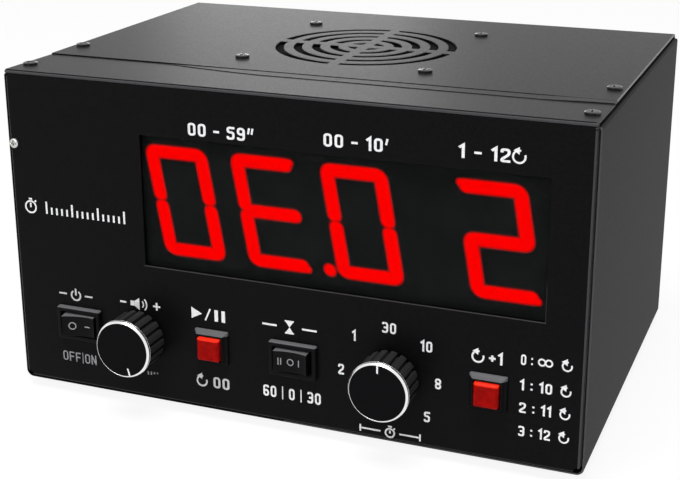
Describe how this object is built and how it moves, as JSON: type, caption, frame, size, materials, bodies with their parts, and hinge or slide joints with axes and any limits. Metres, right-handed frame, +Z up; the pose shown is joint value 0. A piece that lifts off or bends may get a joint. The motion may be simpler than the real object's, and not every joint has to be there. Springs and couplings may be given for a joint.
{
  "type": "interval gym timer",
  "caption": "Desk-top gym interval timer: folded black steel case with lit red digits behind a window, speaker grille on top, and rocker switches, push buttons and rotary knobs on the front.",
  "frame": {"origin": "centre of the whole object's footprint, on the surface its feet stand on", "axes": "+X to the right along the front seen from the front, +Y from the front towards the back, +Z up"},
  "size_m": [0.25, 0.1966, 0.1456],
  "materials": {
    "powder_coat": "fine black powder coat, semi-matt",
    "black_screw": "black oxide",
    "bright_zinc": "bright zinc plate",
    "foot_rubber": "matt black rubber",
    "window_plastic": "smoked acrylic",
    "digit_housing": "dark painted face",
    "segment_red": "red epoxy, lit",
    "circuit_board": "green solder mask",
    "nylon": "natural nylon",
    "chip_epoxy": "moulded black epoxy",
    "capacitor_sleeve": "shrunk sleeve",
    "ribbon_grey": "grey ribbon insulation",
    "speaker_cloth": "black acoustic cloth",
    "pressed_steel": "plated pressing",
    "cone_paper": "black pressed paper",
    "ferrite": "ferrite ring with plated plates",
    "switch_plastic": "satin black moulding",
    "button_red": "glossy red moulding",
    "knob_plastic": "glossy black moulding",
    "knob_ring": "turned bright aluminium",
    "panel_print": "light screen print"
  },
  "bodies": {
    "case": {"base_shell": "powder_coat", "front_panel": "powder_coat", "back_panel": "powder_coat", "top_cover": "powder_coat", "strip_screw_left": "black_screw", "strip_screw_right": "black_screw", "cover_screw_left": "black_screw", "cover_screw_right": "black_screw", "front_edge_screw": "bright_zinc", "foot_front_left": "foot_rubber", "foot_front_right": "foot_rubber", "foot_rear_left": "foot_rubber", "foot_rear_right": "foot_rubber", "window_filter": "window_plastic", "display_frame": "digit_housing", "display_module_1": "digit_housing", "display_module_2": "digit_housing", "display_module_3": "digit_housing", "display_module_4": "digit_housing", "digit_1_segments": "segment_red", "digit_2_segments": "segment_red", "digit_3_segments": "segment_red", "digit_4_segments": "segment_red", "display_board": "circuit_board", "main_board": "circuit_board", "main_board_tray": "nylon", "controller_chip": "chip_epoxy", "supply_capacitor": "capacitor_sleeve", "display_ribbon": "ribbon_grey", "grille_cloth": "speaker_cloth", "speaker_frame": "pressed_steel", "speaker_cone": "cone_paper", "speaker_dust_cap": "cone_paper", "speaker_magnet": "ferrite", "speaker_screw_1": "black_screw", "speaker_screw_2": "black_screw", "speaker_screw_3": "black_screw", "speaker_screw_4": "black_screw", "power_switch_housing": "switch_plastic", "rest_time_switch_housing": "switch_plastic", "pause_button_housing": "switch_plastic", "pause_button_spring": "bright_zinc", "rounds_button_housing": "switch_plastic", "rounds_button_spring": "bright_zinc", "volume_body": "pressed_steel", "volume_nut": "bright_zinc", "selector_body": "pressed_steel", "selector_nut": "bright_zinc", "power_jack": "chip_epoxy", "power_jack_nut": "bright_zinc"},
    "power_rocker": {"power_rocker": "switch_plastic"},
    "rest_time_rocker": {"rest_time_rocker": "switch_plastic"},
    "volume_control": {"volume_shaft": "bright_zinc", "volume_knob": "knob_plastic", "volume_knob_ring": "knob_ring"},
    "rounds_selector": {"selector_shaft": "bright_zinc", "selector_knob": "knob_plastic", "selector_knob_ring": "knob_ring"},
    "pause_button": {"pause_button_cap": "button_red"},
    "rounds_button": {"rounds_button_cap": "button_red"}
  },
  "joints": [
    {"name": "power_rocker_tilt", "type": "hinge", "parent": "case", "child": "power_rocker", "pos_m": [-0.0942, -0.07875, 0.0336], "axis": [0, 0, -1], "range_deg": [0, 18]},
    {"name": "rest_time_rocker_tilt", "type": "hinge", "parent": "case", "child": "rest_time_rocker", "pos_m": [0.0055, -0.07875, 0.0336], "axis": [0, 0, -1], "range_deg": [-9, 9]},
    {"name": "volume_turn", "type": "hinge", "parent": "case", "child": "volume_control", "pos_m": [-0.0644, -0.08125, 0.0336], "axis": [0, -1, 0], "range_deg": [0, 280]},
    {"name": "rounds_selector_turn", "type": "hinge", "parent": "case", "child": "rounds_selector", "pos_m": [0.0476, -0.08125, 0.0336], "axis": [0, -1, 0], "range_deg": [-135, 135]},
    {"name": "pause_button_press", "type": "slide", "parent": "case", "child": "pause_button", "axis": [0, 1, 0], "range_m": [0, 0.002], "stiffness_N_per_m": 300, "deforming": ["pause_button_spring"]},
    {"name": "rounds_button_press", "type": "slide", "parent": "case", "child": "rounds_button", "axis": [0, 1, 0], "range_m": [0, 0.002], "stiffness_N_per_m": 300, "deforming": ["rounds_button_spring"]}
  ]
}
